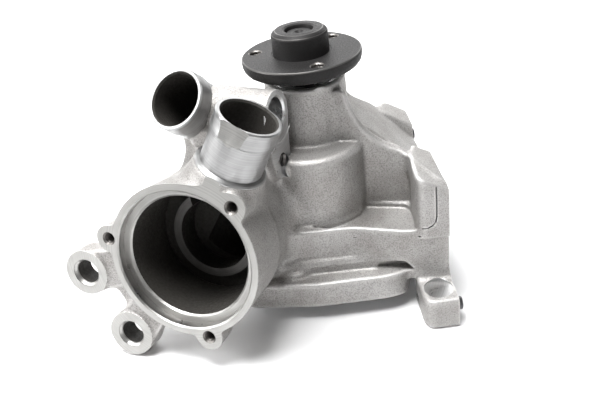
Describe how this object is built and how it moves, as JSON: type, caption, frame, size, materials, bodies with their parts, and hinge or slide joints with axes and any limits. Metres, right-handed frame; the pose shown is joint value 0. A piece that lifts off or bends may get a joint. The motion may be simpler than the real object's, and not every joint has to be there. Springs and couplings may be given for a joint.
{
  "type": "water pump",
  "caption": "Engine coolant pump: cast housing with thermostat chamber, two hose stubs and side port, black drive flange on a bearing shaft, impeller behind a rear cover.",
  "frame": {"origin": "centre of the rear cover's outer face, on the shaft axis", "axes": "+Z along the shaft to the drive flange, +X out of the face on the engine block"},
  "size_m": [0.1984, 0.1475, 0.14],
  "materials": {
    "cast_aluminium": "shot-blasted casting with machined faces",
    "black_oxide_steel": "black oxide",
    "ground_steel": "ground",
    "zinc_steel": "zinc plated",
    "dark_steel": "plain dark steel",
    "impeller_steel": "plain cast",
    "gasket_fibre": "matt",
    "black_rubber": "matt",
    "carbon": "lapped",
    "ceramic": "lapped",
    "cage_nylon": "moulded"
  },
  "bodies": {
    "housing": {"pump_housing": "cast_aluminium", "rear_cover": "cast_aluminium", "cover_gasket": "gasket_fibre", "cover_screw_1": "zinc_steel", "cover_screw_2": "zinc_steel", "cover_screw_3": "zinc_steel", "cover_screw_4": "zinc_steel", "cover_screw_5": "zinc_steel", "cover_screw_6": "zinc_steel", "dowel_upper": "dark_steel", "dowel_lower": "dark_steel", "outlet_seal_ring": "black_rubber", "core_plug": "zinc_steel", "weep_cap": "black_rubber", "bearing_outer_ring": "ground_steel", "bearing_seal_front": "black_rubber", "bearing_seal_rear": "black_rubber", "seal_cup": "zinc_steel", "seal_bellows": "black_rubber", "seal_carbon_ring": "carbon"},
    "rotor": {"pump_shaft": "ground_steel", "drive_flange": "black_oxide_steel", "slinger_ring": "black_rubber", "seal_seat_ring": "ceramic", "impeller": "impeller_steel"},
    "front_ball_row": {"front_ball_1": "ground_steel", "front_ball_2": "ground_steel", "front_ball_3": "ground_steel", "front_ball_4": "ground_steel", "front_ball_5": "ground_steel", "front_ball_6": "ground_steel", "front_ball_7": "ground_steel", "front_cage": "cage_nylon"},
    "rear_ball_row": {"rear_ball_1": "ground_steel", "rear_ball_2": "ground_steel", "rear_ball_3": "ground_steel", "rear_ball_4": "ground_steel", "rear_ball_5": "ground_steel", "rear_ball_6": "ground_steel", "rear_ball_7": "ground_steel", "rear_cage": "cage_nylon"}
  },
  "joints": [
    {"name": "rotor_spin", "type": "hinge", "parent": "housing", "child": "rotor", "pos_m": [0, 0, 0.084], "axis": [0, 0, 1], "continuous": true},
    {"name": "front_row_spin", "type": "hinge", "parent": "housing", "child": "front_ball_row", "pos_m": [0, 0, 0.094], "axis": [0, 0, 1], "continuous": true},
    {"name": "rear_row_spin", "type": "hinge", "parent": "housing", "child": "rear_ball_row", "pos_m": [0, 0, 0.074], "axis": [0, 0, 1], "continuous": true}
  ],
  "couplings": [
    {"joint": "front_row_spin", "follows": "rotor_spin", "ratio": 0.372},
    {"joint": "rear_row_spin", "follows": "rotor_spin", "ratio": 0.372}
  ]
}
